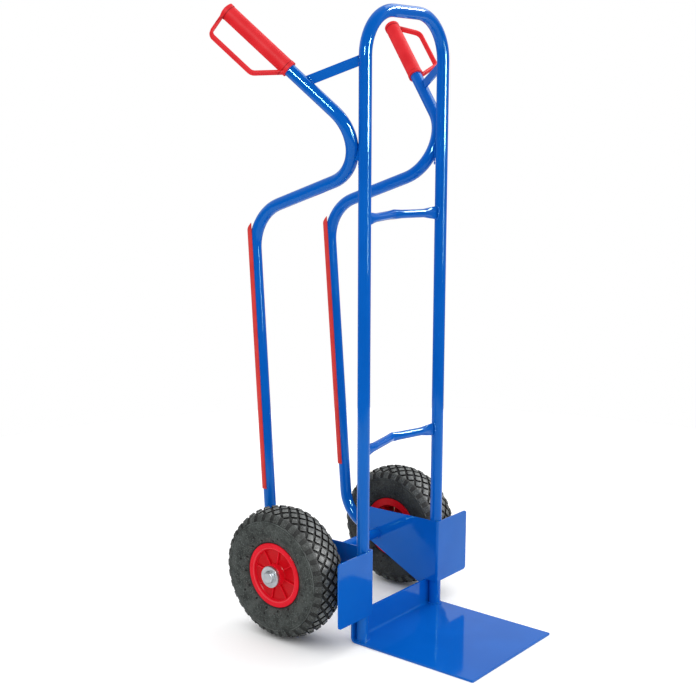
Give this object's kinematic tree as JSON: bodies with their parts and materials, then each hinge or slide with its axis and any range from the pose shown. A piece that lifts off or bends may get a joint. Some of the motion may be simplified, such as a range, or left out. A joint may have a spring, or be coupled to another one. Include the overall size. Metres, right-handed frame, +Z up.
{
  "type": "sack truck",
  "caption": "Upright steel sack truck with a toe plate, skid handles with guarded grips, and pneumatic wheels that turn on a fixed axle.",
  "frame": {"origin": "underside of the toe plate, midway between the uprights and under their axes, at floor level", "axes": "+Z up along the uprights, -Y forward over the toe plate, +X to the left hand of the person who pushes it"},
  "size_m": [0.5952, 0.5603, 1.206],
  "materials": {
    "blue_paint": "gloss powder coat",
    "red_grip_plastic": "satin",
    "red_strip_plastic": "satin",
    "red_rim_plastic": "satin gloss",
    "tyre": "matt",
    "inner_tube_rubber": "matt",
    "zinc": "zinc plate",
    "bearing_steel": "greased",
    "brass": "satin",
    "black_plastic": "matt"
  },
  "bodies": {
    "frame": {"main_frame_tube": "blue_paint", "toe_plate": "blue_paint", "upper_rung": "blue_paint", "lower_rung": "blue_paint", "axle": "blue_paint", "left_side_plate": "blue_paint", "left_handle_tube": "blue_paint", "left_handle_web": "blue_paint", "left_handle_brace": "blue_paint", "left_grip": "red_grip_plastic", "left_skid_strip": "red_strip_plastic", "left_axle_collar": "zinc", "left_inner_washer": "zinc", "left_outer_washer": "zinc", "left_axle_cap": "zinc", "right_side_plate": "blue_paint", "right_handle_tube": "blue_paint", "right_handle_web": "blue_paint", "right_handle_brace": "blue_paint", "right_grip": "red_grip_plastic", "right_skid_strip": "red_strip_plastic", "right_axle_collar": "zinc", "right_inner_washer": "zinc", "right_outer_washer": "zinc", "right_axle_cap": "zinc"},
    "left_wheel": {"left_tyre": "tyre", "left_inner_tube": "inner_tube_rubber", "left_valve_stem": "brass", "left_valve_cap": "black_plastic", "left_rim": "red_rim_plastic", "left_roller_bearing": "bearing_steel"},
    "right_wheel": {"right_tyre": "tyre", "right_inner_tube": "inner_tube_rubber", "right_valve_stem": "brass", "right_valve_cap": "black_plastic", "right_rim": "red_rim_plastic", "right_roller_bearing": "bearing_steel"}
  },
  "joints": [
    {"name": "left_wheel_spin", "type": "hinge", "parent": "frame", "child": "left_wheel", "pos_m": [0.1875, 0.1426, 0.13], "axis": [1, 0, 0], "continuous": true},
    {"name": "right_wheel_spin", "type": "hinge", "parent": "frame", "child": "right_wheel", "pos_m": [-0.1875, 0.1426, 0.13], "axis": [1, 0, 0], "continuous": true}
  ]
}
